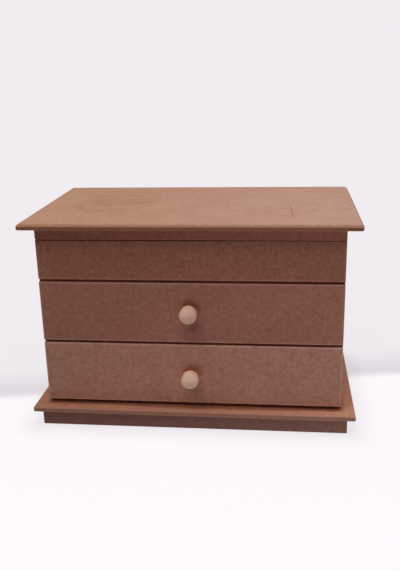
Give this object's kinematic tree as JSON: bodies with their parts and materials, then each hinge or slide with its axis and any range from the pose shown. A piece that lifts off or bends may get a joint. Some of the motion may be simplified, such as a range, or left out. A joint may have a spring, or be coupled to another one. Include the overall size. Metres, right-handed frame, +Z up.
{
  "type": "makeup box",
  "caption": "Raw fibreboard makeup box with a hinged mirror lid over a divided tray, pull-out drawers with turned knobs, and an overhanging base board on a recessed plinth.",
  "frame": {"origin": "on the surface the box stands on, under the middle of the lid and base boards", "axes": "+X to the right across the fronts, +Y towards the hinged back, +Z up; the drawers open towards -Y"},
  "size_m": [0.33, 0.2043, 0.217],
  "materials": {
    "fibreboard": "raw medium-density fibreboard, sanded, unpainted",
    "turned_wood": "pale turned hardwood, raw",
    "mirror_glass": "silvered glass",
    "hinge_brass": "brass plated",
    "screw_steel": "zinc plated"
  },
  "bodies": {
    "box_body": {"back_panel": "fibreboard", "base_board": "fibreboard", "body_hinge_nails": "hinge_brass", "body_leaf_left": "hinge_brass", "body_leaf_right": "hinge_brass", "drawer_shelf": "fibreboard", "hinge_pin_left": "hinge_brass", "hinge_pin_right": "hinge_brass", "plinth_back": "fibreboard", "plinth_front": "fibreboard", "plinth_left": "fibreboard", "plinth_right": "fibreboard", "side_left": "fibreboard", "side_right": "fibreboard", "tray_divider_left": "fibreboard", "tray_divider_long": "fibreboard", "tray_divider_right": "fibreboard", "tray_floor": "fibreboard", "tray_front": "fibreboard"},
    "lower_drawer": {"lower_drawer_bottom": "fibreboard", "lower_drawer_box_back": "fibreboard", "lower_drawer_box_front": "fibreboard", "lower_drawer_box_left": "fibreboard", "lower_drawer_box_right": "fibreboard", "lower_drawer_front": "fibreboard", "lower_drawer_knob": "turned_wood", "lower_drawer_knob_screw": "screw_steel"},
    "upper_drawer": {"upper_drawer_bottom": "fibreboard", "upper_drawer_box_back": "fibreboard", "upper_drawer_box_front": "fibreboard", "upper_drawer_box_left": "fibreboard", "upper_drawer_box_right": "fibreboard", "upper_drawer_front": "fibreboard", "upper_drawer_knob": "turned_wood", "upper_drawer_knob_screw": "screw_steel"},
    "lid": {"lid_board": "fibreboard", "lid_hinge_nails": "hinge_brass", "lid_leaf_left": "hinge_brass", "lid_leaf_right": "hinge_brass", "lid_mirror": "mirror_glass", "lid_rim_back": "fibreboard", "lid_rim_front": "fibreboard", "lid_rim_left": "fibreboard", "lid_rim_right": "fibreboard"}
  },
  "joints": [
    {"name": "lower_drawer_slide", "type": "slide", "parent": "box_body", "child": "lower_drawer", "axis": [0, -1, 0], "range_m": [0, 0.13]},
    {"name": "upper_drawer_slide", "type": "slide", "parent": "box_body", "child": "upper_drawer", "axis": [0, -1, 0], "range_m": [0, 0.13]},
    {"name": "lid_hinge", "type": "hinge", "parent": "box_body", "child": "lid", "pos_m": [0, 0.088, 0.1983], "axis": [-1, 0, 0], "range_deg": [0, 142]}
  ]
}
